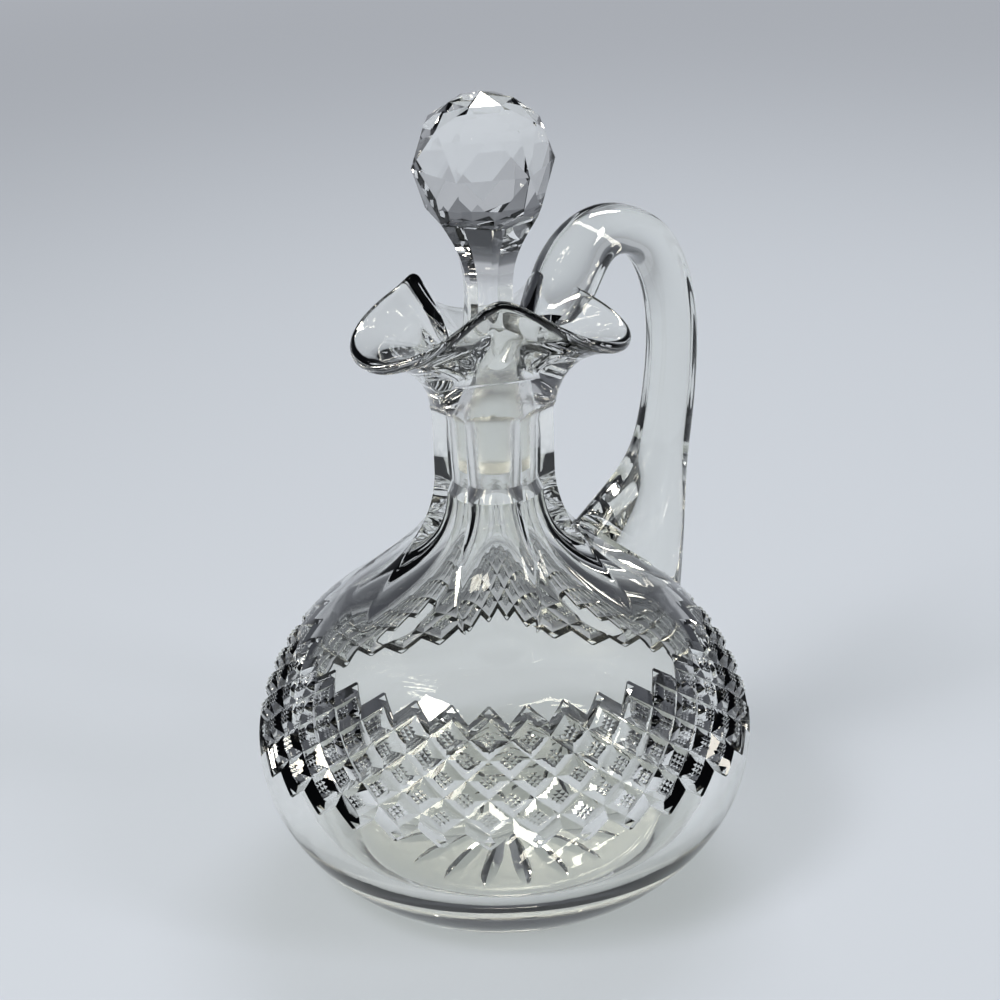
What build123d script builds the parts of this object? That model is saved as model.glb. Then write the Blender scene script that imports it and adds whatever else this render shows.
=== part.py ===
from build123d import *
from math import asin, cos, degrees, pi, radians, sin, sqrt
import os

# Cut-glass cruet. Millimetres and degrees. The origin is on the bottle's axis at the plane it stands on,
# with the handle along +X and the pouring lobe opposite it, along -X.

# Body, outside; the shoulder and the band rise from the height where the body is widest
body_radius = 49.5
widest_height = 28.0
base_radius = 33.0
dome_rise = 38.5
shoulder_rise = 28.0
shoulder_sweep = 14.0
foot_rounding = 0.8

# Neck, outside; the flutes end below the mouth
neck_radius = 12.0
neck_foot_rise = 30.0
neck_length = 20.0
flute_count = 7
flute_depth = 1.3
flute_stop = 6.0
flute_arch_radius = 3.5
flute_end = 0.08

# Inside of the body and neck
wall = 6.0
base_thickness = 9.0
floor_radius = 14.0
bore_relief = 1.4
bore_top_drop = 26.0
inner_shoulder_drop = 3.0
inner_sweep = 14.0

# Stopper, and the ground seat that it stands in; rises are from the mouth of the neck
plug_stand = 2.0
plug_length = 22.0
plug_top_radius = 6.0
plug_bottom_radius = 5.0
plug_edge = 0.4
seat_clearance = 0.08
seat_overrun = 3.0
mouth_bevel = 0.8
mouth_radius = 8.0
shank_sides = 6
waist_rise = 15.0
waist_half_width = 4.3
shank_foot_flare = 0.3
ball_rise = 39.7
ball_radius = 13.5
upper_ring_radius = 10.7
upper_ring_rise = 8.3
lower_ring_radius = 11.2
lower_ring_drop = 7.7
crown_radius = 6.0
crown_rise = 12.0
ball_top_rise = 13.6
collar_radius = 10.4
collar_drop = 9.6

# Lip: pinches and lobes in turn, as the direction from the handle, how far the edge flares beyond
# the neck, how far it stands above the mouth, and the slope at which the glass reaches it
lip_stations = [
    (5, 2.3, 15.0, 68),
    (59, 13.2, 2.0, 2),
    (118, 5.4, 15.0, 60),
    (187, 19.3, 8.5, 5),
    (239, 5.5, 18.4, 66),
    (299, 15.8, 7.2, 5),
]
rim_thickness = 2.4
lip_root_drop = 12.0
lip_root_skin = 0.03
lip_root_inset = 0.2
lip_section_count = 24
lip_sector_count = 3
lip_overlap = 2

# Band of diamonds cut round the body
diamond_columns = 34
diamond_rows = 3
band_bottom_rise = 1.0
band_top_rise = 23.3
mitre_depth = 1.1
flat_share = 0.66
flat_depth = 0.25
band_reach = 1.0

# Star cut under the base
star_rays = 18
star_radius = 25.0
star_hub = 3.0
star_depth = 1.2
star_half_width = 1.6
star_skim = 0.3

# Handle: stations along its centre line, each as the share of the way from the pinch at the neck
# down to the shoulder, the distance out and up from that spot, the direction in which the glass
# runs there, the half thickness in the plane of the handle and the half width across it
handle_flare = 2.3
handle_stations = [
    (0.0, 1.2, 4.0, 80, 4.2, 4.5),
    (0.1, 2.2, 16.5, 62, 6.0, 6.0),
    (0.2, 5.7, 28.0, 35, 5.6, 5.7),
    (0.3, 11.2, 34.9, -8, 4.9, 5.2),
    (0.4, 17.7, 35.7, -50, 4.6, 5.0),
    (0.5, 20.9, 31.2, -74, 4.6, 4.9),
    (0.6, 20.5, 24.6, -88, 4.7, 4.9),
    (0.7, 17.3, 15.8, -98, 5.0, 5.0),
    (0.8, 12.4, 9.0, -106, 6.1, 5.4),
    (0.9, 6.0, 4.2, -117, 10.3, 6.6),
    (1.0, -1.9, -2.6, -126, 16.2, 8.4),
]

shoulder_height = widest_height + shoulder_rise
neck_foot_height = shoulder_height + neck_foot_rise
mouth_height = neck_foot_height + neck_length
plug_top_height = mouth_height + plug_stand
ball_centre_height = mouth_height + ball_rise
lip_top = mouth_height + max(rise for _, _, rise, _ in lip_stations) + rim_thickness


def meridian(*edges):
    """Closed face in a plane through the axis, from edges given as radius and height."""
    return Plane.XZ * make_face(Curve() + list(edges))


def around(count, shape, first=0.0):
    """Copies of a shape, evenly spaced about the axis."""
    return [Rot(0, 0, first + 360 * k / count) * shape for k in range(count)]


def ellipse_point(radius, rise, level, angle, offset=0.0):
    """Point of an ellipse about the axis at an eccentric angle, moved outwards along its normal."""
    normal = Vector(cos(angle) / radius, sin(angle) / rise).normalized()
    return Vector(radius * cos(angle), level + rise * sin(angle)) + normal * offset


def sweep_curve(radius, rise, level, start, reach, end, end_reach):
    """Hollow curve that leaves an ellipse smoothly at a height and ends upright on a neck."""
    angle = asin((start - level) / rise)
    first = ellipse_point(radius, rise, level, angle)
    along = Vector(-radius * sin(angle), rise * cos(angle)).normalized()
    last = Vector(*end)
    return Bezier(first, first + along * reach, last - Vector(0, end_reach), last)


def dome_arc(radius, rise, level, top):
    return EllipticalCenterArc((0, level), radius, rise, 0, arc_size=degrees(asin((top - level) / rise)))


shoulder = sweep_curve(
    body_radius, dome_rise, widest_height, shoulder_height,
    shoulder_sweep, (neck_radius, neck_foot_height), shoulder_sweep,
)


def body_outside():
    """Body and neck without their hollow, cuts or lip."""
    drop = widest_height / sqrt(1 - (base_radius / body_radius) ** 2)
    dip = degrees(asin(widest_height / drop))
    floor = Line((0, 0), (base_radius, 0))
    bowl = EllipticalCenterArc((0, widest_height), body_radius, drop, -dip, arc_size=dip)
    dome = dome_arc(body_radius, dome_rise, widest_height, shoulder_height)
    neck = Polyline(shoulder @ 1, (neck_radius, mouth_height), (0, mouth_height), (0, 0))
    solid = revolve(meridian(floor, bowl, dome, shoulder, neck), axis=Axis.Z)
    return fillet(solid.edges().sort_by(Axis.Z)[0], foot_rounding)


def seat_radius(height):
    """Radius of the ground seat, which follows the plug's taper at its clearance."""
    slope = (plug_top_radius - plug_bottom_radius) / plug_length
    return plug_top_radius + slope * (height - plug_top_height) + seat_clearance


def hollow():
    """Room inside the body, the neck's bore, the ground seat and the mouth above it."""
    inner_radius = body_radius - wall
    inner_drop = widest_height - base_thickness
    inner_rise = dome_rise - wall
    seat_bottom = plug_top_height - plug_length - seat_overrun
    seat_top = mouth_height - mouth_bevel
    bore_radius = seat_radius(seat_bottom) + bore_relief
    floor = Line((0, base_thickness), (floor_radius, base_thickness))
    bowl = EllipticalCenterArc(
        (floor_radius, widest_height), inner_radius - floor_radius, inner_drop, -90, arc_size=90
    )
    inner_shoulder_height = shoulder_height - inner_shoulder_drop
    dome = dome_arc(inner_radius, inner_rise, widest_height, inner_shoulder_height)
    sweep = sweep_curve(
        inner_radius, inner_rise, widest_height, inner_shoulder_height,
        inner_sweep, (bore_radius, mouth_height - bore_top_drop), inner_sweep,
    )
    bore = Polyline(
        sweep @ 1,
        (seat_radius(seat_bottom), seat_bottom),
        (seat_radius(seat_top), seat_top),
        (mouth_radius, mouth_height),
        (mouth_radius, lip_top),
        (0, lip_top),
        (0, base_thickness),
    )
    return revolve(meridian(floor, bowl, dome, sweep, bore), axis=Axis.Z)


def lip_edge(angle):
    """Radius, height and slope of the lip's edge in a direction, swinging evenly between stations."""
    for here, after in zip(lip_stations, lip_stations[1:] + lip_stations[:1]):
        share = (angle - here[0]) % 360 / ((after[0] - here[0]) % 360)
        if share < 1:
            swing = (1 - cos(pi * share)) / 2
            flare, rise, slope = [a + (b - a) * swing for a, b in zip(here[1:], after[1:])]
            return neck_radius + flare, mouth_height + rise, radians(slope)


def lip_section(angle):
    """Cross-section of the lip in the plane through the axis at an angle from the handle."""
    radius, height, slope = lip_edge(angle)
    half = rim_thickness / 2
    run = Vector(cos(slope), sin(slope))
    side = Vector(sin(slope), -cos(slope)) * half
    bead = Vector(radius, height) - run * half
    outer_root = Vector(neck_radius + lip_root_skin, mouth_height - lip_root_drop)
    inner_root = Vector(mouth_radius - lip_root_inset, mouth_height - lip_root_inset)
    reach = (radius - neck_radius) * 0.55 + 2.5
    spring = Vector(outer_root.X, max(height - reach * 0.9 - 1.5, outer_root.Y + 2))
    outer = Bezier(outer_root, spring, bead + side - run * reach, bead + side)
    tip = ThreePointArc(bead + side, bead + run * half, bead - side)
    rise = Vector(0, (height - mouth_height) * 0.45)
    inner = Bezier(bead - side, bead - side - run * reach, inner_root + rise, inner_root)
    root = Line(inner_root, outer_root)
    return Rot(0, 0, angle) * meridian(outer, tip, inner, root)


def lip():
    """Thrown lip, made as sectors that meet at a shared section."""
    step = 360 / lip_section_count
    turn = 360 / lip_sector_count
    reach = 2 * (neck_radius + max(flare for _, flare, _, _ in lip_stations))
    sectors = []
    for k in range(lip_sector_count):
        first = k * lip_section_count // lip_sector_count
        last = (k + 1) * lip_section_count // lip_sector_count
        sector = loft([lip_section(step * j) for j in range(first - lip_overlap, last + lip_overlap + 1)])
        angles = [radians(turn * (k + share)) for share in (0, 0.5, 1)]
        edges = [(reach * cos(angle), reach * sin(angle)) for angle in angles]
        sectors.append(sector & extrude(make_face(Polyline((0, 0), *edges, (0, 0))), amount=lip_top))
    return sectors


def flute():
    """Wheel cut down one side of the neck and out over the shoulder, ending in a rounded petal."""
    flat = neck_radius - flute_depth
    arch = sqrt(2 * flute_arch_radius * flute_depth - flute_depth ** 2)
    arch_foot = Vector(flat, mouth_height - flute_stop - arch)
    arch_turn = radians(70)
    arch_mid = arch_foot + Vector(1 - cos(arch_turn / 2), sin(arch_turn / 2)) * flute_arch_radius
    arch_end = arch_foot + Vector(1 - cos(arch_turn), sin(arch_turn)) * flute_arch_radius
    arch_curve = ThreePointArc(arch_foot, arch_mid, arch_end)
    steps = [1, 0.85, 0.7, 0.55, 0.4, 0.25, flute_end, 0]
    points = []
    for share in steps:
        fade = ((1 - share) / (1 - flute_end)) ** 3
        tangent = shoulder % share
        inward = Vector(-tangent.Y, tangent.X)
        points.append(shoulder @ share + inward * flute_depth * (1 - fade))
    run = Spline(*points, tangents=[(0, -1), shoulder % 0 * -1])
    upright = Line(arch_foot, run @ 0)
    clear = body_radius
    outline = Polyline(run @ 1, (clear, (run @ 1).Y), (clear, arch_end.Y), arch_end)
    profile = meridian(arch_curve, upright, run, outline)
    return extrude(profile, amount=neck_radius * 1.5, both=True)


def polyhedron(facets):
    """Solid from flat facets, each a list of points."""
    return Solid(Shell([Face(Wire.make_polygon(points)) for points in facets]))


def band_point(column, row, depth):
    """Point of the diamond grid; columns and rows count half diamonds, depth goes into the glass."""
    low = asin(band_bottom_rise / dome_rise)
    high = asin(band_top_rise / dome_rise)
    angle = low + (high - low) * row / (2 * diamond_rows)
    spot = ellipse_point(body_radius, dome_rise, widest_height, angle, -depth)
    return Vector(spot.X, 0, spot.Y).rotate(Axis.Z, 180 * column / diamond_columns)


def diamond_facets(column, row):
    """Flat top of one diamond and the eight facets that fall from it to the mitre cuts around it."""
    centre = band_point(column, row, flat_depth)
    normal = (band_point(column, row, 0) - centre).normalized()
    neighbours = ((1, 0), (0, 1), (-1, 0), (0, -1))
    low = [band_point(column + c, row + r, mitre_depth) for c, r in neighbours]
    spokes = [spot - centre for spot in low]
    top = [centre + (spoke - normal * spoke.dot(normal)) * flat_share for spoke in spokes]
    facets = [top]
    for k in range(4):
        after = (k + 1) % 4
        facets.append([low[k], low[after], top[k]])
        facets.append([low[after], top[after], top[k]])
    return facets


def band_cutter():
    """Glass that the mitre wheel removes: a ring whose inner side is the finished band."""
    rows = 2 * diamond_rows
    shift = (1 - flat_share) / (mitre_depth - flat_depth) * (mitre_depth + band_reach)

    def outside_point(column, row):
        at_edge = {0: -shift, 1: -shift, rows - 1: shift, rows: shift}
        return band_point(column, row + at_edge.get(row, 0), -band_reach)

    facets = []
    for row in range(1, rows):
        for column in range((row + 1) % 2, 2 * diamond_columns, 2):
            facets += diamond_facets(column, row)
            left, right, below, above = [
                outside_point(column + c, row + r) for c, r in ((-1, 0), (1, 0), (0, -1), (0, 1))
            ]
            facets.append([left, right, above])
            facets.append([left, right, below])
    for tip, notch in ((0, 1), (rows, rows - 1)):
        for column in range(0, 2 * diamond_columns, 2):
            for side in (-1, 1):
                low = [band_point(column, tip, mitre_depth), band_point(column + side, notch, mitre_depth)]
                high = [outside_point(column, tip), outside_point(column + side, notch)]
                facets.append([low[0], low[1], high[0]])
                facets.append([low[1], high[1], high[0]])
    return polyhedron(facets)


def star_ray():
    """Cap of the mitre wheel that cuts one ray of the star into the base."""
    half_length = (star_radius - star_hub) / 2
    wheel = (half_length ** 2 + star_depth ** 2) / (2 * star_depth)
    spread = star_half_width / star_depth
    reach = 2 * star_depth
    swing = 1.3 * degrees(half_length / wheel)
    hub = Plane((star_hub + half_length, 0, star_depth - wheel), x_dir=(0, 1, 0), z_dir=(1, 0, 0))
    edge = Polyline((0, wheel), (reach * spread, wheel - reach), (-reach * spread, wheel - reach), (0, wheel))
    profile = hub * make_face(edge)
    axle = Axis(hub.origin, (0, 1, 0))
    cap = revolve(profile.rotate(axle, -swing), axis=axle, revolution_arc=2 * swing)
    slab = Pos(0, 0, reach / 2 - star_skim) * Box(4 * star_radius, 4 * star_radius, reach)
    return cap & slab


def bottle_outside():
    """Outside of the neck, body and lip, with the flutes cut and the inside still full."""
    blown = body_outside() + lip()
    half_flute = 180 / flute_count
    return blown - around(flute_count, flute(), half_flute)


def bottle(outside):
    """Blown bottle with its lip thrown open, its flutes, its band of diamonds and its star."""
    return outside - hollow() - band_cutter() - around(star_rays, star_ray())


def handle(outside):
    """Solid glass handle, pressed on hot: its top against a pinch of the lip, its foot on the shoulder."""
    pinch = Vector(neck_radius + handle_flare, mouth_height)
    foot = shoulder @ 0
    sections = []
    for share, out, up, direction, half_thickness, half_width in handle_stations:
        spot = pinch + (foot - pinch) * share + Vector(out, up)
        run = Vector(cos(radians(direction)), 0, sin(radians(direction)))
        across = Vector(-run.Z, 0, run.X)
        station = Plane((spot.X, 0, spot.Y), x_dir=across, z_dir=run)
        sections.append(station * Ellipse(half_thickness, half_width))
    return loft(sections) - outside


def shank_panels():
    """Room that the wheel leaves for the plug and shank: flats that hollow in above the plug."""
    collar = collar_radius * cos(pi / shank_sides)
    collar_height = ball_centre_height - collar_drop
    plug_room = plug_top_radius + 1.5
    foot = Vector(plug_top_radius + shank_foot_flare, plug_top_height)
    waist = Vector(waist_half_width, mouth_height + waist_rise)
    lower = Bezier(foot, foot + Vector(-1.2, 2.5), waist - Vector(0, 7), waist)
    flare = Vector(collar, collar_height)
    upper = Bezier(waist, waist + Vector(0, 7), flare - Vector(2.4, 4.5), flare)
    start = plug_top_height - plug_length - plug_edge
    inside = Polyline(flare, (0, collar_height), (0, start), (plug_room, start), foot)
    half = make_face(Curve() + [lower, upper, inside])
    profile = Plane.XZ * (half + mirror(half, about=Plane.YZ))
    return extrude(profile, amount=ball_radius, both=True)


def ball_ring(radius, rise, count, first):
    """Corners of one ring of the cut ball, counted from a number of steps past the handle."""
    corner = Vector(radius, 0, ball_centre_height + rise)
    return [corner.rotate(Axis.Z, 360 * (k + first) / count) for k in range(count)]


def cut_ball():
    """Ball with rows of facets: twelve-cornered rings above and below a six-cornered equator."""
    sides = shank_sides
    collar = ball_ring(collar_radius, -collar_drop, sides, 0)
    lower = ball_ring(lower_ring_radius, -lower_ring_drop, 2 * sides, 0)
    equator = ball_ring(ball_radius, 0, sides, 0.5)
    upper = ball_ring(upper_ring_radius, upper_ring_rise, 2 * sides, 0)
    crown = ball_ring(crown_radius, crown_rise, sides, 0.5)
    top = Vector(0, 0, ball_centre_height + ball_top_rise)
    facets = [collar]
    for k in range(sides):
        after = (k + 1) % sides
        here, turned, beyond = 2 * k, 2 * k + 1, (2 * k + 2) % (2 * sides)
        for ring in (lower, upper):
            facets.append([equator[k], ring[here], ring[turned]])
            facets.append([equator[k], ring[turned], ring[beyond]])
            facets.append([equator[k], equator[after], ring[beyond]])
        facets.append([collar[k], lower[here], lower[turned]])
        facets.append([collar[k], collar[after], lower[turned]])
        facets.append([collar[after], lower[turned], lower[beyond]])
        facets.append([crown[k], upper[here], upper[turned]])
        facets.append([crown[k], upper[turned], upper[beyond]])
        facets.append([crown[k], crown[after], upper[beyond]])
        facets.append([crown[k], crown[after], top])
    return polyhedron(facets)


def stopper():
    """One piece of solid glass: ground plug, hollow-sided shank and cut ball."""
    foot = plug_top_height - plug_length
    collar_height = ball_centre_height - collar_drop
    bell_top = plug_top_height + 4
    stock = meridian(
        Polyline(
            (0, foot),
            (plug_bottom_radius - plug_edge, foot),
            (plug_bottom_radius, foot + plug_edge),
            (plug_top_radius, plug_top_height),
            (plug_top_radius, bell_top),
            (ball_radius, bell_top + ball_radius),
            (ball_radius, collar_height),
            (0, collar_height),
            (0, foot),
        )
    )
    lower = revolve(stock, axis=Axis.Z)
    for k in range(shank_sides // 2):
        lower = lower & Rot(0, 0, 360 * (k + 0.5) / shank_sides) * shank_panels()
    return lower + cut_ball()


os.makedirs("parts", exist_ok=True)
outside = bottle_outside()
nodes = {"bottle": bottle(outside), "handle": handle(outside), "stopper": stopper()}
for name, solid in nodes.items():
    solid.label = name
    export_step(solid, f"parts/{name}.step")
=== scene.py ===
from math import asin, cos, degrees, pi, radians, sin, sqrt

import bpy
import numpy as np
from mathutils import Matrix, Vector

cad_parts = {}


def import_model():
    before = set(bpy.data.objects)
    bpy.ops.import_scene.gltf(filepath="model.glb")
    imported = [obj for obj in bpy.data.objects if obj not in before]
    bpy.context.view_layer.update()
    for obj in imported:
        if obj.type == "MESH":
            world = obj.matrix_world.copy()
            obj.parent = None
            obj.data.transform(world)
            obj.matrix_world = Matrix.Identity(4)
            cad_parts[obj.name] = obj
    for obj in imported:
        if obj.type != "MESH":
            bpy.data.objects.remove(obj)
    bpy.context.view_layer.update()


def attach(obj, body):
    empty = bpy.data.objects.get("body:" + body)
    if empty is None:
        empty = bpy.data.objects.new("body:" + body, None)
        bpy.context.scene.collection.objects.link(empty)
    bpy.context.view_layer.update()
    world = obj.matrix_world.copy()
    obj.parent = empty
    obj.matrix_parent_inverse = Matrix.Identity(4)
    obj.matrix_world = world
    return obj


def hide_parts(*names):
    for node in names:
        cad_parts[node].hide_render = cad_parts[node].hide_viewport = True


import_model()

# Shapes are worked out in millimetres. The origin is at the middle of the base, the handle at +X.
MM = 0.001

# Body, outside; the shoulder and the band rise from the height where the body is widest
body_radius = 49.5
widest_height = 28.0
base_radius = 33.0
dome_rise = 38.5
shoulder_rise = 28.0
shoulder_sweep = 14.0
foot_rounding = 0.9

# Neck, outside
neck_radius = 12.0
neck_foot_rise = 30.0
neck_length = 20.0
flute_count = 7
flute_depth = 1.3
flute_stop = 6.0
flute_arch_radius = 3.5
flute_arch_turn = 70.0
flute_end = 0.08

# Inside of the body and neck
wall = 6.0
base_thickness = 9.0
floor_radius = 30.0
bore_relief = 1.4
bore_top_drop = 26.0
inner_shoulder_drop = 3.0

# Stopper, and the ground seat that it stands in
plug_stand = 2.0
plug_length = 22.0
plug_top_radius = 6.0
plug_bottom_radius = 5.0
plug_edge = 0.4
seat_clearance = 0.08
seat_overrun = 3.0
mouth_bevel = 0.8
mouth_radius = 8.0
shank_sides = 6
waist_rise = 15.0
waist_half_width = 4.3
shank_foot_flare = 0.3
shank_foot_sweep = (-1.2, 2.5)
waist_sweep = (0, 7)
flare_sweep = (2.4, 4.5)
bell_rise = 4.0
ball_rise = 39.7
ball_radius = 13.5
upper_ring = (10.7, 8.3)
lower_ring = (11.2, -7.7)
crown = (6.0, 12.0)
collar = (10.4, -9.6)
ball_top_rise = 13.6

# Lip: pinches and lobes in turn, as the direction from the handle, how far the edge flares beyond
# the neck, how far it stands above the mouth, and the slope at which the glass reaches it
lip_stations = [
    (5, 2.3, 15.0, 68),
    (59, 13.2, 2.0, 2),
    (118, 5.4, 15.0, 60),
    (187, 19.3, 8.5, 5),
    (239, 5.5, 18.4, 66),
    (299, 15.8, 7.2, 5),
]
rim_thickness = 2.4
lip_root_drop = 12.0

# Curves of the lip's section. Each leaves the bead straight for a reach that grows with the flare.
# The outer one springs from the neck some way below the edge, the inner one from the mouth.
reach_share = 0.55
least_reach = 2.5
spring_share = 0.9
spring_drop = 1.5
least_spring = 2.0
inner_spring_share = 0.45

# Tight fold at the far left pinch: its direction and half width in degrees, how far the edge is
# drawn in and up there, and the share by which the bead is thicker
fold_direction = 118.0
fold_width = 4.5
fold_depth = 1.3
fold_rise = 1.5
fold_swell = 0.3

# Band of diamonds: mitre cuts between them, and finer cuts that leave nine points on top of each
diamond_columns = 34
diamond_rows = 3
band_bottom_rise = 2.9
band_top_rise = 23.0
mitre_half_width = 0.25
mitre_depth = 1.6
fine_cuts = 3
fine_depth = 0.55
point_depth = 0.05

# Star cut under the base
star_rays = 18
star_radius = 25.0
star_hub = 3.0
star_depth = 1.2
star_half_width = 1.7
star_fullest = 0.62
star_least_edge = 0.02
star_margin = 1.5

# Handle: stations along its centre line, as the share of the way from the pinch down to the
# shoulder, the distance out and up from there, the direction in which the glass runs, the half
# thickness in the plane of the handle and the half width across it. Its sections are ovals that
# are squarer than an ellipse, whose squareness is 2.
handle_flare = 2.3
handle_squareness = 2.6
handle_stations = [
    (0.0, 1.2, 4.0, 80, 4.2, 4.5),
    (0.1, 2.2, 16.5, 62, 6.0, 6.0),
    (0.2, 5.7, 28.0, 35, 5.6, 5.7),
    (0.3, 11.2, 34.9, -8, 4.9, 5.2),
    (0.4, 17.7, 35.7, -50, 4.6, 5.0),
    (0.5, 20.9, 31.2, -74, 4.6, 4.9),
    (0.6, 20.5, 24.6, -88, 4.7, 4.9),
    (0.7, 17.3, 15.8, -98, 5.0, 5.0),
    (0.8, 12.4, 9.0, -106, 6.1, 5.4),
    (0.9, 6.0, 4.2, -117, 10.3, 6.6),
    (1.0, -1.9, -2.6, -126, 16.2, 8.4),
]

# Fineness of the mesh: rings along each stretch, columns round it and samples of each curve
star_rings = 18
corner_shares = (0.2, 0.4, 0.6, 0.8)
bowl_rings = 26
flute_lead_drops = (0.7, 0.3)
shoulder_rings = 66
neck_rings = 7
lip_outer_rings = 58
lip_outer_crowding = 1.3
bead_rings = 11
lip_inner_rings = 33
mouth_columns = 36 * flute_count
seat_rings = 9
inner_sweep_rings = 34
inner_dome_rings = 24
inner_bowl_rings = 28
floor_rings = 6
handle_rings = 150
handle_columns = 96
plug_rings = 26
shank_rings = 110
shank_side_columns = 16
flute_samples = 400
flat_samples = 60
shank_samples = 120
weld_distance = 0.002

# Edges sharper than this many degrees show as edges
bottle_sharp = 20
handle_sharp = 35
stopper_sharp = 5

# Heights and lengths that follow from the sizes above
shoulder_height = widest_height + shoulder_rise
neck_foot_height = shoulder_height + neck_foot_rise
mouth_height = neck_foot_height + neck_length
plug_top_height = mouth_height + plug_stand
plug_foot_height = plug_top_height - plug_length
ball_height = mouth_height + ball_rise
bowl_drop = widest_height / sqrt(1 - (base_radius / body_radius) ** 2)

# Distance of a cut from the axis where no wheel reaches the glass
NO_CUT = 999.0

# Finishes of the faces. CAP closes the mouth only while the handle is pressed on.
CUT, GROUND, JOINT, HANDLE, CAP = range(5)


class Skin:
    """Mesh in the making: rings of points, faces between them and the finish of each face."""

    def __init__(self):
        self.points, self.faces, self.finish = [], [], []
        self.count = 0

    def ring(self, points):
        points = np.asarray(points, float)
        numbers = np.arange(self.count, self.count + len(points))
        self.points.append(points)
        self.count += len(points)
        return numbers, points

    def add(self, faces, finish=CUT):
        self.faces.extend(faces)
        self.finish.extend([finish] * len(faces))

    def quads(self, low, high, finish=CUT):
        a, b = low[0], high[0]
        self.add(np.stack([a, np.roll(a, -1), np.roll(b, -1), b], 1).tolist(), finish)

    def creased(self, low, high, finish=CUT):
        """Two triangles for each quad, split along the diagonal that stands further out."""
        a, b = low[1], high[1]
        a1, b1 = np.roll(a, -1, 0), np.roll(b, -1, 0)
        outward = np.cross(b1 - a, b - a1)
        rising = np.einsum("ij,ij->i", a + b1 - a1 - b, outward) > 0
        n, m = low[0], high[0]
        n1, m1 = np.roll(n, -1), np.roll(m, -1)
        for k, up in enumerate(rising):
            if up:
                self.add([(n[k], n1[k], m1[k]), (n[k], m1[k], m[k])], finish)
            else:
                self.add([(n[k], n1[k], m[k]), (n1[k], m1[k], m[k])], finish)

    def zipper(self, low, high, finish=CUT):
        """Triangles between two rings that differ in their number of points."""
        turn = [np.degrees(np.arctan2(p[:, 1], p[:, 0])) % 360 for _, p in (low, high)]
        order = [np.argsort(t) for t in turn]
        n, m = low[0][order[0]], high[0][order[1]]
        a, b = turn[0][order[0]], turn[1][order[1]]
        i = j = 0
        while i < len(n) or j < len(m):
            after_a = a[(i + 1) % len(n)] + 360 * ((i + 1) // len(n))
            after_b = b[(j + 1) % len(m)] + 360 * ((j + 1) // len(m))
            here, there = n[i % len(n)], m[j % len(m)]
            if j == len(m) or (i < len(n) and after_a <= after_b):
                i += 1
                self.add([(here, n[i % len(n)], there)], finish)
            else:
                j += 1
                self.add([(here, m[j % len(m)], there)], finish)

    def close(self, ring, tip=None, finish=CUT):
        """Fan from a ring to a tip that comes after it, or one flat face."""
        numbers = ring[0]
        if tip is None:
            self.add([numbers.tolist()], finish)
        else:
            end = self.ring([tip])[0][0]
            self.add([(a, b, end) for a, b in zip(numbers, np.roll(numbers, -1))], finish)

    def parts(self):
        return np.concatenate(self.points), self.faces, self.finish


def bezier(points, share):
    """Points of a Bezier curve of degree three; each control point may be a row of arrays."""
    a, b, c, d = [np.asarray(p, float) for p in points]
    rest = 1 - share
    return rest ** 3 * a + 3 * rest ** 2 * share * b + 3 * rest * share ** 2 * c + share ** 3 * d


def turned(radius, height, azimuth):
    """Points at an azimuth in degrees from the handle."""
    angle = np.radians(azimuth)
    radius, height, angle = np.broadcast_arrays(radius, height, angle)
    return np.stack([radius * np.cos(angle), radius * np.sin(angle), height], -1)


def sweep_controls(radius, rise, start, end, reach):
    """Control points of the hollow curve that leaves an ellipse and ends upright on a neck."""
    angle = asin((start - widest_height) / rise)
    first = np.array([radius * cos(angle), widest_height + rise * sin(angle)])
    along = np.array([-radius * sin(angle), rise * cos(angle)])
    along /= np.linalg.norm(along)
    last = np.array(end)
    return [first, first + along * reach, last - np.array([0, reach]), last]


neck_foot = (neck_radius, neck_foot_height)
shoulder = sweep_controls(body_radius, dome_rise, shoulder_height, neck_foot, shoulder_sweep)


def body_point(angle, depth=0.0):
    """Radius and height on the body at an eccentric angle, at a depth below the uncut surface."""
    rise = np.where(angle >= 0, dome_rise, bowl_drop)
    normal = np.stack([np.cos(angle) / body_radius, np.sin(angle) / rise])
    normal /= np.linalg.norm(normal, axis=0)
    radius = body_radius * np.cos(angle) - depth * normal[0]
    return radius, widest_height + rise * np.sin(angle) - depth * normal[1]


# Base and bowl


def star_ring(skin, radius):
    """Ring of the base, with points on the edges and the bottom of each ray of the star."""
    along = (radius - star_hub) / (star_radius - star_hub) - star_fullest
    outer, inner = 1 - (along / (1 - star_fullest)) ** 3, 1 - (along / star_fullest) ** 2
    deep = max(0.0, outer if along > 0 else inner)
    sector = 180 / star_rays
    edge = max(degrees(asin(star_half_width * deep / radius)), star_least_edge * sector)
    beside = [edge / 2, edge, sector / 3 + edge * 2 / 3, sector * 2 / 3 + edge / 3]
    offsets = np.array([-sector] + [-offset for offset in beside[::-1]] + [0] + beside)
    heights = star_depth * deep * np.maximum(0, 1 - abs(offsets) / edge)
    azimuth = (np.arange(star_rays)[:, None] * 2 * sector + offsets).ravel()
    return skin.ring(turned(radius, np.tile(heights, star_rays), azimuth))


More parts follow.
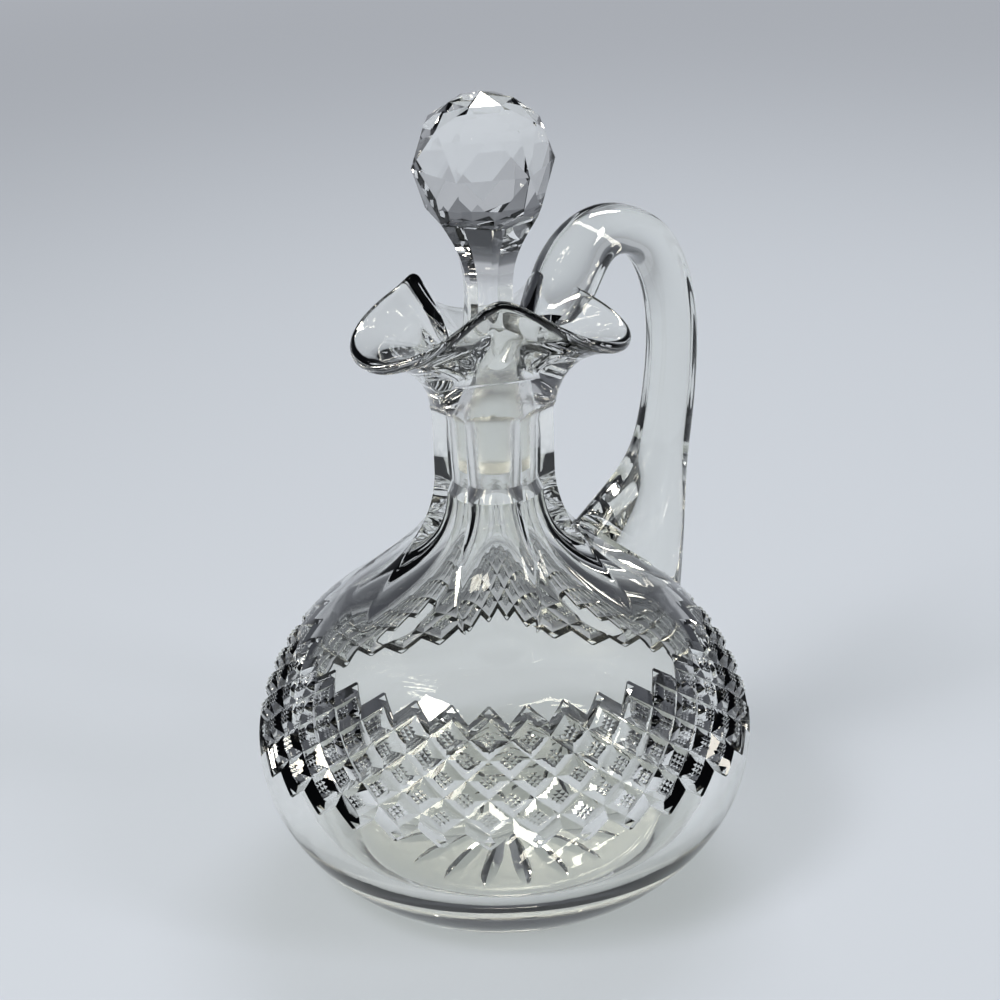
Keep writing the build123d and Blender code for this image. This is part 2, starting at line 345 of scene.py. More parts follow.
def base(skin, columns):
    """Flat base with its star, and the bowl up to the band; returns the bowl's last ring."""
    shares = [(1 - cos(pi * k / star_rings)) for k in range(star_rings + 1)]
    steps = [star_hub + (star_radius - star_hub) * share / 2 for share in shares]
    centre = skin.ring([(0, 0, 0)])
    last = star_ring(skin, steps[0])
    numbers = last[0]
    skin.add([(centre[0][0], b, a) for a, b in zip(numbers, np.roll(numbers, -1))])
    for radius in steps[1:] + [star_radius + star_margin]:
        ring = star_ring(skin, radius)
        skin.creased(last, ring)
        last = ring
    flat = skin.ring(turned(base_radius - foot_rounding, 0, columns))
    skin.zipper(last, flat)
    last = flat
    dip = -asin(widest_height / bowl_drop)
    start = dip + foot_rounding / bowl_drop
    radius, height = body_point(np.array(start))
    edge = (base_radius, 0)
    corner = [(base_radius - foot_rounding, 0), edge, edge, (radius, height)]
    for share in corner_shares:
        spot = bezier(corner, share)
        ring = skin.ring(turned(spot[0], spot[1], columns))
        skin.quads(last, ring)
        last = ring
    end = band_angle(-1)
    for angle in np.linspace(start, end, bowl_rings)[:-1]:
        ring = skin.ring(turned(*body_point(angle), columns))
        skin.quads(last, ring)
        last = ring
    return last


# Band of diamonds, on a lattice that runs along the mitre cuts. A line of the lattice is counted in
# steps, several to each diamond. Lines that rise to the right and to the left are taken in pairs.
# The band is turned by half a diamond, so that its tips are where the photograph has them.

fine_width = (1 - 2 * mitre_half_width) / fine_cuts
lattice_steps = [0.0] + [mitre_half_width + fine_width * k / 2 for k in range(2 * fine_cuts + 1)]
step_count = len(lattice_steps)
low_angle = asin(band_bottom_rise / dome_rise)
high_angle = asin(band_top_rise / dome_rise)
mitre_run_out = lattice_steps[2]


def band_angle(row):
    return low_angle + (high_angle - low_angle) * row / (2 * diamond_rows)


def lattice_place(step):
    return step // step_count + np.array(lattice_steps)[step % step_count]


def inside_depth(share):
    """Depth across one diamond, from the mitre at one side over its points to the other."""
    top = [point_depth if k % 2 else fine_depth for k in range(2 * fine_cuts + 1)]
    return np.interp(share, lattice_steps + [1.0], [mitre_depth] + top + [mitre_depth])


def outside_depth(share):
    """Depth beside the outermost mitre cut, which runs out to the uncut surface."""
    return np.interp(share, [0, mitre_run_out], [mitre_depth, 0])


def band_depth(rising, falling):
    """Depth of the cuts at a place of the lattice, counted in diamonds along both kinds of line."""
    cell = np.floor(rising) - np.floor(falling)
    p, q = rising % 1, falling % 1
    last = 2 * diamond_rows
    choices = [
        (cell < 0, np.minimum(outside_depth(1 - p), outside_depth(q))),
        (cell == 0, np.maximum(outside_depth(1 - p), outside_depth(q))),
        (cell == last, np.maximum(outside_depth(p), outside_depth(1 - q))),
        (cell > last, np.minimum(outside_depth(p), outside_depth(1 - q))),
    ]
    inside = np.maximum(inside_depth(p), inside_depth(q))
    return np.select([case for case, _ in choices], [depth for _, depth in choices], inside)


def band_row(row, falling_step):
    """Points of one row of the lattice, and their azimuths."""
    rising, falling = lattice_place(falling_step + row), lattice_place(falling_step)
    radius, height = body_point(band_angle(rising - falling), band_depth(rising, falling))
    azimuth = 180 * (rising + falling + 1) / diamond_columns
    return turned(radius, height, azimuth), azimuth


def band(skin, below, falling_step):
    """Diamonds between the bowl and the dome; returns the last ring."""
    first, last = -step_count, (2 * diamond_rows + 1) * step_count
    rows = {first: below}
    for row in range(first + 1, last + 1):
        rows[row] = skin.ring(band_row(row, falling_step)[0])
    for row in range(first, last + 1):
        left = rows[row][0]
        right = np.roll(left, -1)
        above = rows[row + 1][0] if row < last else None
        under = np.roll(rows[row - 1][0], -1) if row > first else None
        if above is None:
            skin.add(np.stack([left, under, right], 1).tolist())
        elif under is None:
            skin.add(np.stack([left, right, above], 1).tolist())
        else:
            sides = rows[row][1]
            ends = rows[row + 1][1] + np.roll(rows[row - 1][1], -1, 0)
            across = np.linalg.norm((sides + np.roll(sides, -1, 0))[:, :2], axis=1)
            upright = np.linalg.norm(ends[:, :2], axis=1)
            for a, b, c, d, flat in zip(left, under, right, above, across > upright):
                skin.add([(a, b, c), (a, c, d)] if flat else [(a, b, d), (b, c, d)])
    return rows[last]


# Shoulder, neck and lip


def flute_limit(height):
    """Distance from the axis at which the wheel that cuts a flute has stopped."""
    share = np.linspace(0, 1, flute_samples)[:, None]
    line = bezier(shoulder, share)
    along = np.gradient(line, axis=0)
    along /= np.linalg.norm(along, axis=1)[:, None]
    inward = np.stack([-along[:, 1], along[:, 0]], 1)
    fade = ((1 - share) / (1 - flute_end)) ** 3
    line = line + inward * flute_depth * (1 - fade)
    flat = neck_radius - flute_depth
    arch_drop = sqrt(2 * flute_arch_radius * flute_depth - flute_depth ** 2)
    arch_foot = mouth_height - flute_stop - arch_drop
    climb = np.clip((height - arch_foot) / flute_arch_radius, 0, 1)
    arch = flat + flute_arch_radius * (1 - np.sqrt(1 - climb ** 2))
    limit = np.where(height < neck_foot_height, np.interp(height, line[:, 1], line[:, 0]), arch)
    gone = climb > sin(radians(flute_arch_turn))
    return np.where((height < line[0, 1]) | gone, NO_CUT, limit)


def cut_ring(skin, uncut, limit, sides, columns):
    """Ring of a round surface with flats round it, with points where each flat begins and ends."""
    half = 180 / sides
    steps = columns // (2 * sides)
    offsets = np.linspace(0, half, flat_samples)
    spots = []
    for side in range(sides):
        centre = half * (2 * side + 1)
        halves = []
        for way in (-1, 1):
            radius, height = uncut(centre + way * offsets)
            spare = limit(height) / np.cos(np.radians(offsets)) - radius
            edge = half
            beyond = np.nonzero(spare > 0)[0]
            if len(beyond) and beyond[0] > 0:
                k = beyond[0]
                gap = offsets[k] - offsets[k - 1]
                edge = offsets[k - 1] + gap * spare[k - 1] / (spare[k - 1] - spare[k])
            near = min(max(round(steps * edge / half), 1), steps - 1) if edge < half else steps
            far = np.linspace(edge, half, steps - near + 1)[1:]
            halves.append(np.concatenate([np.linspace(0, edge, near + 1), far]))
        spots += [centre - w for w in halves[0][::-1]] + [centre + w for w in halves[1][1:-1]]
    azimuth = np.array(spots)
    radius, height = uncut(azimuth)
    swing = np.radians((azimuth % (2 * half)) - half)
    return skin.ring(turned(np.minimum(radius, limit(height) / np.cos(swing)), height, azimuth))


def lip_edge(azimuth):
    """Radius, height, slope and thickness of the lip's edge, which swings between stations."""
    out = np.zeros((3,) + np.shape(azimuth))
    for here, after in zip(lip_stations, lip_stations[1:] + lip_stations[:1]):
        share = (azimuth - here[0]) % 360 / ((after[0] - here[0]) % 360)
        swing = (1 - np.cos(pi * share)) / 2
        for k in range(3):
            between = here[k + 1] + (after[k + 1] - here[k + 1]) * swing
            out[k] = np.where(share < 1, between, out[k])
    fold = np.exp(-(((azimuth - fold_direction + 180) % 360 - 180) / fold_width) ** 2)
    radius = neck_radius + out[0] - fold_depth * fold
    height = mouth_height + out[1] + fold_rise * fold
    return radius, height, np.radians(out[2]), rim_thickness * (1 + fold_swell * fold)


def lip_frame(azimuth):
    """Middle of the bead, its outward run, its under side, its tip and the reach of the curves."""
    radius, height, slope, thickness = lip_edge(np.asarray(azimuth, float))
    run = np.stack([np.cos(slope), np.sin(slope)])
    tip = run * thickness / 2
    side = np.stack([np.sin(slope), -np.cos(slope)]) * thickness / 2
    bead = np.stack([radius, height]) - tip
    return bead, run, side, tip, (radius - neck_radius) * reach_share + least_reach


def lip_outer(azimuth, share):
    bead, run, side, tip, reach = lip_frame(azimuth)
    level = bead[1] + tip[1]
    foot = np.full_like(level, mouth_height - lip_root_drop)
    root = np.stack([np.full_like(level, neck_radius), foot])
    start = np.maximum(level - reach * spring_share - spring_drop, foot + least_spring)
    spring = np.stack([root[0], start])
    return bezier([root, spring, bead + side - run * reach, bead + side], share)


def lip_bead(azimuth, share):
    bead, _, side, tip, _ = lip_frame(azimuth)
    return bead + side * cos(pi * share) + tip * sin(pi * share)


def lip_inner(azimuth, share):
    bead, run, side, tip, reach = lip_frame(azimuth)
    level = bead[1] + tip[1]
    root = np.stack([np.full_like(level, mouth_radius), np.full_like(level, mouth_height)])
    rise = np.stack([np.zeros_like(level), (level - mouth_height) * inner_spring_share])
    return bezier([bead - side, bead - side - run * reach, root + rise, root], share)


def upper_outside(skin, below, columns):
    """Shoulder, fluted neck and lip, in to the mouth; returns the mouth's ring."""

    def at(spot):
        return lambda azimuth: (np.full_like(azimuth, spot[0]), np.full_like(azimuth, spot[1]))

    lead = [asin((shoulder_rise - drop) / dome_rise) for drop in flute_lead_drops]
    uncut = [at(body_point(np.array(angle))) for angle in lead]
    uncut += [at(bezier(shoulder, share)) for share in np.linspace(0, 1, shoulder_rings)]
    root = mouth_height - lip_root_drop
    uncut += [at((neck_radius, z)) for z in np.linspace(neck_foot_height, root, neck_rings)[1:]]
    shares = np.linspace(0, 1, lip_outer_rings)[1:] ** lip_outer_crowding
    uncut += [lambda azimuth, share=share: lip_outer(azimuth, share) for share in shares]
    last = below
    for k, shape in enumerate(uncut):
        ring = cut_ring(skin, shape, flute_limit, flute_count, columns)
        if k:
            skin.creased(last, ring)
        else:
            skin.zipper(last, ring)
        last = ring
    azimuth = np.arange(columns) * 360 / columns
    for share in np.linspace(0, 1, bead_rings)[1:]:
        ring = skin.ring(turned(*lip_bead(azimuth, share), azimuth))
        skin.quads(last, ring)
        last = ring
    for share in np.linspace(0, 1, lip_inner_rings)[1:]:
        ring = skin.ring(turned(*lip_inner(azimuth, share), azimuth))
        skin.quads(last, ring)
        last = ring
    return last


def bottle_shell():
    """Outer skin of the bottle, closed across the mouth."""
    skin = Skin()
    falling_step = np.arange(diamond_columns * step_count)
    _, columns = band_row(-step_count, falling_step)
    bowl = base(skin, columns)
    below = skin.ring(band_row(-step_count, falling_step)[0])
    skin.quads(bowl, below)
    dome = band(skin, below, falling_step)
    mouth = upper_outside(skin, dome, mouth_columns)
    skin.close(mouth, finish=CAP)
    return skin.parts()


# Inside of the bottle


def seat_radius(height):
    slope = (plug_top_radius - plug_bottom_radius) / plug_length
    return plug_top_radius + slope * (height - plug_top_height) + seat_clearance


def hollow():
    """Skin of the ground seat, the bore and the room inside, from the mouth down to the floor."""
    seat_bottom = plug_foot_height - seat_overrun
    seat_top = mouth_height - mouth_bevel
    bore = seat_radius(seat_bottom) + bore_relief
    bore_top = mouth_height - bore_top_drop
    inner_radius, inner_rise = body_radius - wall, dome_rise - wall
    inner_drop = widest_height - base_thickness
    inner_shoulder = shoulder_height - inner_shoulder_drop
    bore_end = (bore, bore_top)
    sweep = sweep_controls(inner_radius, inner_rise, inner_shoulder, bore_end, shoulder_sweep)
    line = [((mouth_radius, mouth_height), CUT), ((seat_radius(seat_top), seat_top), CUT)]
    seat = np.linspace(seat_top, seat_bottom, seat_rings)[1:]
    line += [((seat_radius(height), height), GROUND) for height in seat]
    line += [(tuple(bezier(sweep, share)), CUT) for share in np.linspace(1, 0, inner_sweep_rings)]
    top = asin((inner_shoulder - widest_height) / inner_rise)
    line += [
        ((inner_radius * cos(a), widest_height + inner_rise * sin(a)), CUT)
        for a in np.linspace(top, 0, inner_dome_rings)[1:]
    ]
    corner = inner_radius - floor_radius
    line += [
        ((floor_radius + corner * cos(a), widest_height - inner_drop * sin(a)), CUT)
        for a in np.linspace(0, pi / 2, inner_bowl_rings)[1:]
    ]
    floor_shares = [1 - k / floor_rings for k in range(1, floor_rings)]
    line += [((floor_radius * share, base_thickness), CUT) for share in floor_shares]
    skin = Skin()
    azimuth = np.arange(mouth_columns) * 360 / mouth_columns
    last = None
    for (radius, height), finish in line:
        ring = skin.ring(turned(radius, height, azimuth))
        if last:
            skin.quads(last, ring, finish)
        last = ring
    skin.close(last, (0, 0, base_thickness))
    return skin.parts()


# Handle


def smooth_path(rows, count):
    """Cubic spline through rows of numbers, sampled evenly; its ends run straight on."""
    rows = np.array(rows, float)
    n = len(rows)
    system = np.zeros((n, n))
    target = np.zeros_like(rows)
    system[0, 0] = system[-1, -1] = 1
    for k in range(1, n - 1):
        system[k, k - 1:k + 2] = 1, 4, 1
        target[k] = 6 * (rows[k - 1] - 2 * rows[k] + rows[k + 1])
    bend = np.linalg.solve(system, target)
    place = np.linspace(0, n - 1, count)
    k = np.minimum(place.astype(int), n - 2)
    t = (place - k)[:, None]
    a, b, m, o = rows[k], rows[k + 1], bend[k], bend[k + 1]
    return a * (1 - t) + b * t + ((1 - t) ** 3 - (1 - t)) * m / 6 + (t ** 3 - t) * o / 6


def handle_skin():
    """Solid rod of oval sections that runs from inside the lip's pinch into the shoulder."""
    pinch = np.array([neck_radius + handle_flare, mouth_height])
    foot = np.array(shoulder[0])
    rows = []
    for share, away, up, direction, thickness, width in handle_stations:
        spot = pinch + (foot - pinch) * share + np.array([away, up])
        rows.append((spot[0], spot[1], direction, thickness, width))
    skin = Skin()
    around = np.radians(np.arange(handle_columns) * 360 / handle_columns)
    swings = np.cos(around), np.sin(around)
    out, aside = [np.sign(f) * abs(f) ** (2 / handle_squareness) for f in swings]
    last = None
    for x, z, direction, thickness, width in smooth_path(rows, handle_rings):
        run = radians(direction)
        across = np.array([-sin(run), 0, cos(run)])
        points = np.array([x, 0, z]) + thickness * out[:, None] * across
        points = points + width * aside[:, None] * np.array([0, 1, 0])
        ring = skin.ring(points[::-1])
        if last:
            skin.quads(last, ring, HANDLE)
        else:
            skin.add([ring[0][::-1].tolist()], HANDLE)
        last = ring
    skin.close(last, finish=HANDLE)
    return skin.parts()


# Stopper


def shank_limit(height):
    """Half width of the shank between its hollow-ground flats, above the plug."""
    flare_radius = collar[0] * cos(pi / shank_sides)
    flare_height = ball_height + collar[1]
    foot = np.array([plug_top_radius + shank_foot_flare, plug_top_height])
    waist = np.array([waist_half_width, mouth_height + waist_rise])
    flare = np.array([flare_radius, flare_height])
    share = np.linspace(0, 1, shank_samples)[:, None]
    lower = bezier([foot, foot + shank_foot_sweep, waist - waist_sweep, waist], share)
    upper = bezier([waist, waist + waist_sweep, flare - flare_sweep, flare], share)
    line = np.concatenate([lower, upper[1:]])
    return np.where(height < plug_top_height, NO_CUT, np.interp(height, line[:, 1], line[:, 0]))


def stopper_skin():
    """Ground plug, hollow-sided shank and cut ball, as one piece."""
    columns = shank_side_columns * shank_sides
    skin = Skin()
    collar_height = ball_height + collar[1]
    bell_top = plug_top_height + bell_rise
    heights = [plug_foot_height, plug_foot_height + plug_edge]
    heights += list(np.linspace(plug_foot_height + plug_edge, plug_top_height, plug_rings)[1:])
    heights += list(np.linspace(plug_top_height, collar_height, shank_rings)[1:])

    def stock(height):
        """Radius before the flats are ground: the plug's taper, and a bell that widens above it."""
        if height == plug_foot_height:
            return plug_bottom_radius - plug_edge
        if height > bell_top:
            return plug_top_radius + height - bell_top
        slope = (plug_top_radius - plug_bottom_radius) / (plug_length - plug_edge)
        plug = plug_bottom_radius + slope * (height - plug_foot_height - plug_edge)
        return min(plug, plug_top_radius)

    last = None
    for height in heights:
        def blank(azimuth):
            return np.full_like(azimuth, stock(height)), np.full_like(azimuth, height)

        ring = cut_ring(skin, blank, shank_limit, shank_sides, columns)
        if last:
            skin.creased(last, ring, GROUND if height <= plug_top_height else CUT)
        else:
            skin.add([ring[0][::-1].tolist()], GROUND)
        last = ring
    cut_ball(skin, last)
    return skin.parts()


def cut_ball(skin, neck):
    """Facets of the ball, from the shank's last ring up to the point at the top."""
    sides = shank_sides
    sector = len(neck[0]) // sides

    def corners(size, count, first):
        radius, rise = size
        azimuth = (np.arange(count) + first) * 360 / count
        return skin.ring(turned(radius, ball_height + rise, azimuth))[0]

    lower = corners(lower_ring, 2 * sides, 0)
    equator = corners((ball_radius, 0), sides, 0.5)
    upper = corners(upper_ring, 2 * sides, 0)
    top_ring = corners(crown, sides, 0.5)
    top = skin.ring([(0, 0, ball_height + ball_top_rise)])[0][0]
    numbers = list(neck[0]) + [neck[0][0]]
    for k in range(sides):
        after = (k + 1) % sides
        here, turn, beyond = 2 * k, 2 * k + 1, (2 * k + 2) % (2 * sides)
        edge = numbers[k * sector:(k + 1) * sector + 1]
        skin.add([
            edge + [lower[turn]],
            (edge[0], lower[turn], lower[here]),
            (edge[-1], lower[beyond], lower[turn]),
            (lower[here], lower[turn], equator[k]),
            (lower[turn], lower[beyond], equator[k]),
            (lower[beyond], equator[after], equator[k]),
            (equator[k], upper[turn], upper[here]),
            (equator[k], upper[beyond], upper[turn]),
            (equator[k], equator[after], upper[beyond]),
            (upper[here], upper[turn], top_ring[k]),
            (upper[turn], upper[beyond], top_ring[k]),
            (upper[beyond], top_ring[after], top_ring[k]),
            (top_ring[k], top_ring[after], top),
        ])


# Pieces


def mesh_object(name, parts, slots=CAP + 1):
    """Object from points, faces and finishes, with empty material slots."""
    points, faces, finish = parts
    mesh = bpy.data.meshes.new(name)
    mesh.from_pydata([tuple(p) for p in points], [], [[int(n) for n in f] for f in faces])
    for _ in range(slots):
        mesh.materials.append(None)
    mesh.polygons.foreach_set("material_index", finish)
    thing = bpy.data.objects.new(name, mesh)
    bpy.context.scene.collection.objects.link(thing)
    return thing


def joined(thing, tool, operation):
    """Points, faces and finishes of one solid joined with, or cut by, another."""
    modifier = thing.modifiers.new("solid", "BOOLEAN")
    modifier.object = tool
    modifier.operation = operation
    modifier.solver = "EXACT"
    modifier.material_mode = "INDEX"
    graph = bpy.context.evaluated_depsgraph_get()
    mesh = bpy.data.meshes.new_from_object(thing.evaluated_get(graph))
    points = np.empty(3 * len(mesh.vertices))
    mesh.vertices.foreach_get("co", points)
    faces = [list(face.vertices) for face in mesh.polygons]
    finish = [face.material_index for face in mesh.polygons]
    bpy.data.meshes.remove(mesh)
    thing.modifiers.remove(modifier)
    return points.reshape(-1, 3), faces, finish


def merged(*skins):
    """Skins put together, with points that coincide made one and unused points left out."""
    index, points, faces, finish = {}, [], [], []
    for spots, polygons, looks in skins:
        names = [tuple(key) for key in np.round(spots / weld_distance).astype(int)]
        for polygon, look in zip(polygons, looks):
            corners = []
            for n in polygon:
                number = index.setdefault(names[n], len(points))
                if number == len(points):
                    points.append(spots[n])
                if not corners or corners[-1] != number:
                    corners.append(number)
            if len(corners) > 1 and corners[0] == corners[-1]:
                corners.pop()
            if len(corners) > 2:
                faces.append(corners)
                finish.append(look)
    return points, faces, finish


def chosen(parts, keep, look=None, flip=False):
    """The faces whose finish passes a test, with another finish or turned over if asked."""
    points, faces, finish = parts
    kept = [(face, n) for face, n in zip(faces, finish) if keep(n)]
    turned_faces = [face[::-1] if flip else face for face, _ in kept]
    return points, turned_faces, [n if look is None else look for _, n in kept]


def finished(name, parts, materials, body, node, sharp_angle):
    """Piece in metres, smooth between its sharp edges, that rides on a body and replaces a node."""
    points, faces, finish = parts
    used = sorted(set(finish))
    piece = mesh_object(name, (np.array(points) * MM, faces, [used.index(n) for n in finish]), 0)
    for n in used:
        piece.data.materials.append(materials[n])
    piece.data.polygons.foreach_set("use_smooth", [True] * len(faces))
    piece.data.set_sharp_from_angle(angle=radians(sharp_angle))
    piece.data.validate()
    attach(piece, body)
    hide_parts(node)
    return piece


# Materials

# Each glass: its tint, its roughness between and in the streaks of polish, and the size and the
# height in metres of the slow waves in its surface
glass_looks = {
    "cut_glass": ((0.985, 0.989, 0.965), 0.0, 0.02, 0.012, 0.00002),
    "ground_glass": ((0.93, 0.94, 0.92), 0.2, 0.32, 0.0006, 0.00005),
    "handle_glass": ((0.93, 0.94, 0.91), 0.0, 0.015, 0.012, 0.00012),
    "stopper_glass": ((0.99, 0.99, 0.975), 0.0, 0.01, 0.012, 0.00001),
}
glass_index = 1.54
lamp_light_share = 0.86
streak_scale = 60
streak_detail = 4
streak_levels = (0.45, 0.75)
wave_detail = 1

# The lowest half millimetre is scuffed by standing
wear_height = 0.0005
foot_wear = 0.3
wear_scale = 900


def glass(name, tint, rough, streak, wave_size, wave_height):
    """Glass with faint streaks of polish, slow waves and a scuffed foot; lamps shine through it."""
    material = bpy.data.materials.new(name)
    material.use_nodes = True
    nodes, links = material.node_tree.nodes, material.node_tree.links
    nodes.clear()
    out = nodes.new("ShaderNodeOutputMaterial")
    shader = nodes.new("ShaderNodeBsdfPrincipled")
    shader.inputs["Base Color"].default_value = (*tint, 1)
    shader.inputs["Transmission Weight"].default_value = 1
    shader.inputs["IOR"].default_value = glass_index
    place = nodes.new("ShaderNodeTexCoord")
    polish = nodes.new("ShaderNodeTexNoise")
    polish.inputs["Scale"].default_value = streak_scale
    polish.inputs["Detail"].default_value = streak_detail
    spread = nodes.new("ShaderNodeMapRange")
    spread.inputs["From Min"].default_value = streak_levels[0]
    spread.inputs["From Max"].default_value = streak_levels[1]
    spread.inputs["To Min"].default_value = rough
    spread.inputs["To Max"].default_value = streak
    wave = nodes.new("ShaderNodeTexNoise")
    wave.inputs["Scale"].default_value = 1 / wave_size
    wave.inputs["Detail"].default_value = wave_detail
    bump = nodes.new("ShaderNodeBump")
    bump.inputs["Distance"].default_value = wave_height
    through = nodes.new("ShaderNodeBsdfTransparent")
    through.inputs["Color"].default_value = (*[lamp_light_share * t for t in tint], 1)
    path = nodes.new("ShaderNodeLightPath")
    lit, seen = nodes.new("ShaderNodeMixShader"), nodes.new("ShaderNodeMixShader")
    links.new(place.outputs["Object"], polish.inputs["Vector"])
    links.new(polish.outputs["Fac"], spread.inputs["Value"])
    split, rubbed = nodes.new("ShaderNodeSeparateXYZ"), nodes.new("ShaderNodeMapRange")
    rubbed.inputs["From Min"].default_value = wear_height
    rubbed.inputs["From Max"].default_value = 0.0
    rubbed.inputs["To Max"].default_value = foot_wear
    scratch = nodes.new("ShaderNodeTexNoise")
    wear, rough_sum = nodes.new("ShaderNodeMath"), nodes.new("ShaderNodeMath")
    scratch.inputs["Scale"].default_value = wear_scale
    wear.operation = "MULTIPLY"
    links.new(place.outputs["Object"], split.inputs["Vector"])
    links.new(split.outputs["Z"], rubbed.inputs["Value"])
    links.new(place.outputs["Object"], scratch.inputs["Vector"])
    links.new(scratch.outputs["Fac"], wear.inputs[0])
    links.new(rubbed.outputs["Result"], wear.inputs[1])
    links.new(wear.outputs[0], rough_sum.inputs[0])
    links.new(spread.outputs["Result"], rough_sum.inputs[1])
    links.new(rough_sum.outputs[0], shader.inputs["Roughness"])
    links.new(place.outputs["Object"], wave.inputs["Vector"])
    links.new(wave.outputs["Fac"], bump.inputs["Height"])
    links.new(bump.outputs["Normal"], shader.inputs["Normal"])
    links.new(path.outputs["Is Diffuse Ray"], seen.inputs[0])
    links.new(shader.outputs["BSDF"], seen.inputs[1])
    links.new(through.outputs["BSDF"], seen.inputs[2])
    links.new(path.outputs["Is Shadow Ray"], lit.inputs[0])
    links.new(seen.outputs["Shader"], lit.inputs[1])
    links.new(through.outputs["BSDF"], lit.inputs[2])
    links.new(lit.outputs["Shader"], out.inputs["Surface"])
    return material


def joint_glass():
    """Where the handle was pressed on hot, light crosses from glass to glass unbent."""
    material = bpy.data.materials.new("fused_joint")
    material.use_nodes = True
    nodes, links = material.node_tree.nodes, material.node_tree.links
    nodes.clear()
    out = nodes.new("ShaderNodeOutputMaterial")
    through = nodes.new("ShaderNodeBsdfTransparent")
    links.new(through.outputs["BSDF"], out.inputs["Surface"])
    return material


def build_pieces():
    """The bottle and the handle, which share the surface where they are fused, and the stopper."""
    clear, matt, rod, facet = (glass(name, *look) for name, look in glass_looks.items())
    joint = joint_glass()
    shell = mesh_object("shell", bottle_shell())
    rod_solid = mesh_object("rod", handle_skin())
    union = joined(shell, rod_solid, "UNION")
    pressed = joined(rod_solid, shell, "DIFFERENCE")
    contact = chosen(pressed, lambda n: n != HANDLE, JOINT)
    bottle = merged(
        chosen(union, lambda n: n not in (HANDLE, CAP)),
        chosen(contact, lambda n: True, flip=True),
        hollow(),
    )
    handle = merged(chosen(pressed, lambda n: n == HANDLE), contact)
    for thing in (shell, rod_solid):
        bpy.data.objects.remove(thing)
    looks = {CUT: clear, GROUND: matt, JOINT: joint, HANDLE: rod}
    finished("cut_bottle", bottle, looks, "cruet", "bottle", bottle_sharp)
    finished("pressed_handle", handle, looks, "cruet", "handle", handle_sharp)
    stopper = merged(stopper_skin())
    looks, body = {CUT: facet, GROUND: matt}, "stopper_body"
    finished("ball_stopper", stopper, looks, body, "stopper", stopper_sharp)


# Stage, lamps and camera, in metres

# Camera: its azimuth from -Y in degrees, its distance from the axis and its height, its angles in
# radians, and its focal length as a share of the sensor's width, which is in millimetres
camera_turn = -38.25
camera_distance = 0.47239
camera_height = 0.28385
camera_pitch = 0.4113
camera_roll = 0.0366
camera_yaw = 0.0017
focal_share = 2.6465
sensor_width = 36
nearest = 0.01

# Floor, and the tone that it and the horizon keep far off
floor_disc_radius = 6
floor_sides = 96
floor_drop = 0.0001
floor_tone = (0.56, 0.62, 0.74)
floor_roughness = 0.9
far_tone = (0.43, 0.45, 0.49)
far_from, far_to = 0.3, 1.0

# Sky: its tone at each height, as the sine of the elevation
sky_top, sky_top_tone = 0.8, (0.03, 0.032, 0.04)
sky_steps = ((0.05, (0.17, 0.18, 0.2)), (0.3, (0.06, 0.064, 0.076)))

# Lamps: azimuth from the camera and elevation in degrees, distance, size, watts and colour
lamp_aim = 0.08
lamps = {
    "key": ((-50, 50, 0.75), (0.22, 0.22), 4.2, (1.0, 0.95, 0.83)),
    "fill": ((65, 32, 0.75), (0.1, 0.4), 2.2, (1.0, 0.96, 0.87)),
    "back": ((165, 50, 0.85), (0.5, 0.15), 4.2, (1.0, 0.96, 0.87)),
}


def camera():
    """Camera at the photograph's place."""
    turn = Matrix.Rotation(radians(camera_turn), 3, "Z")
    level = cos(camera_pitch)
    forward = Vector((sin(camera_yaw) * level, cos(camera_yaw) * level, -sin(camera_pitch)))
    right = Vector((cos(camera_yaw), -sin(camera_yaw), 0))
    up = right.cross(forward)
    across = right * cos(camera_roll) - up * sin(camera_roll)
    above = right * sin(camera_roll) + up * cos(camera_roll)
    data = bpy.data.cameras.new("camera")
    data.sensor_width = sensor_width
    data.lens = focal_share * data.sensor_width
    data.clip_start = nearest
    thing = bpy.data.objects.new("camera", data)
    axes = Matrix([turn @ across, turn @ above, turn @ -forward]).transposed()
    place = turn @ Vector((0, -camera_distance, camera_height))
    thing.matrix_world = Matrix.Translation(place) @ axes.to_4x4()
    bpy.context.scene.collection.objects.link(thing)
    bpy.context.scene.camera = thing


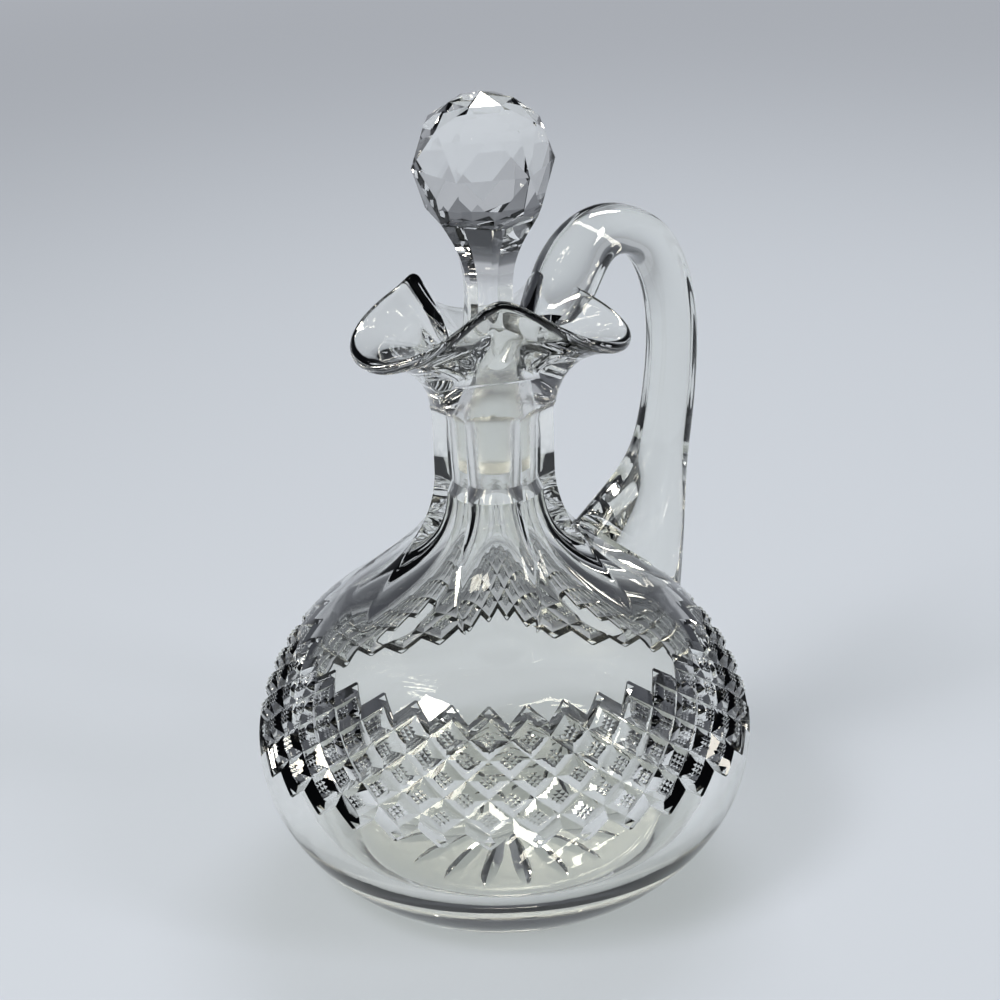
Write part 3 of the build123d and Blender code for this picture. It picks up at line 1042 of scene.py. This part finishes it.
def floor():
    """Plain pale floor, just under the base; far off, where no lamp reaches, it keeps its tone."""
    angles = [2 * pi * k / floor_sides for k in range(floor_sides)]
    points = [(floor_disc_radius * cos(a), floor_disc_radius * sin(a), -floor_drop) for a in angles]
    mesh = bpy.data.meshes.new("floor")
    mesh.from_pydata(points, [], [list(range(floor_sides))])
    material = bpy.data.materials.new("floor")
    material.use_nodes = True
    nodes, links = material.node_tree.nodes, material.node_tree.links
    shader, out = nodes["Principled BSDF"], nodes["Material Output"]
    shader.inputs["Base Color"].default_value = (*floor_tone, 1)
    shader.inputs["Roughness"].default_value = floor_roughness
    far = nodes.new("ShaderNodeEmission")
    far.inputs["Color"].default_value = (*far_tone, 1)
    place, path = nodes.new("ShaderNodeNewGeometry"), nodes.new("ShaderNodeLightPath")
    distance, fade = nodes.new("ShaderNodeVectorMath"), nodes.new("ShaderNodeMapRange")
    distance.operation = "LENGTH"
    fade.interpolation_type = "SMOOTHSTEP"
    fade.inputs["From Min"].default_value = far_from
    fade.inputs["From Max"].default_value = far_to
    links.new(place.outputs["Position"], distance.inputs[0])
    links.new(distance.outputs["Value"], fade.inputs["Value"])
    seen = path.outputs["Is Camera Ray"]
    for ray in ("Is Glossy Ray", "Is Transmission Ray"):
        either = nodes.new("ShaderNodeMath")
        either.operation = "MAXIMUM"
        links.new(seen, either.inputs[0])
        links.new(path.outputs[ray], either.inputs[1])
        seen = either.outputs[0]
    share, mix = nodes.new("ShaderNodeMath"), nodes.new("ShaderNodeMixShader")
    share.operation = "MULTIPLY"
    links.new(seen, share.inputs[0])
    links.new(fade.outputs["Result"], share.inputs[1])
    links.new(share.outputs[0], mix.inputs[0])
    links.new(shader.outputs["BSDF"], mix.inputs[1])
    links.new(far.outputs["Emission"], mix.inputs[2])
    links.new(mix.outputs["Shader"], out.inputs["Surface"])
    mesh.materials.append(material)
    thing = bpy.data.objects.new("floor", mesh)
    bpy.context.scene.collection.objects.link(thing)


def lamp(name, place, size, power, colour):
    """Soft box that faces the cruet; its place is its azimuth, elevation and distance."""
    angle, elevation = radians(camera_turn - 90 + place[0]), radians(place[1])
    data = bpy.data.lights.new(name, "AREA")
    data.shape = "RECTANGLE"
    data.size, data.size_y = size
    data.energy = power
    data.color = colour
    thing = bpy.data.objects.new(name, data)
    level = cos(elevation)
    spot = Vector((cos(angle) * level, sin(angle) * level, sin(elevation)))
    thing.location = Vector((0, 0, lamp_aim)) + spot * place[2]
    thing.rotation_euler = spot.to_track_quat("Z", "Y").to_euler()
    bpy.context.scene.collection.objects.link(thing)


def world():
    """Studio that is pale round the horizon and dim overhead."""
    data = bpy.data.worlds.new("studio")
    bpy.context.scene.world = data
    data.use_nodes = True
    nodes, links = data.node_tree.nodes, data.node_tree.links
    place = nodes.new("ShaderNodeTexCoord")
    split = nodes.new("ShaderNodeSeparateXYZ")
    ramp = nodes.new("ShaderNodeValToRGB")
    stops = ramp.color_ramp.elements
    stops[0].position, stops[0].color = 0.0, (*far_tone, 1)
    stops[1].position, stops[1].color = sky_top, (*sky_top_tone, 1)
    for position, tone in sky_steps:
        stops.new(position).color = (*tone, 1)
    links.new(place.outputs["Generated"], split.inputs["Vector"])
    links.new(split.outputs["Z"], ramp.inputs["Fac"])
    links.new(ramp.outputs["Color"], nodes["Background"].inputs["Color"])


def studio():
    floor()
    world()
    for name, look in lamps.items():
        lamp(name, *look)
    camera()


bpy.context.scene.view_settings.view_transform = "Standard"
build_pieces()
studio()
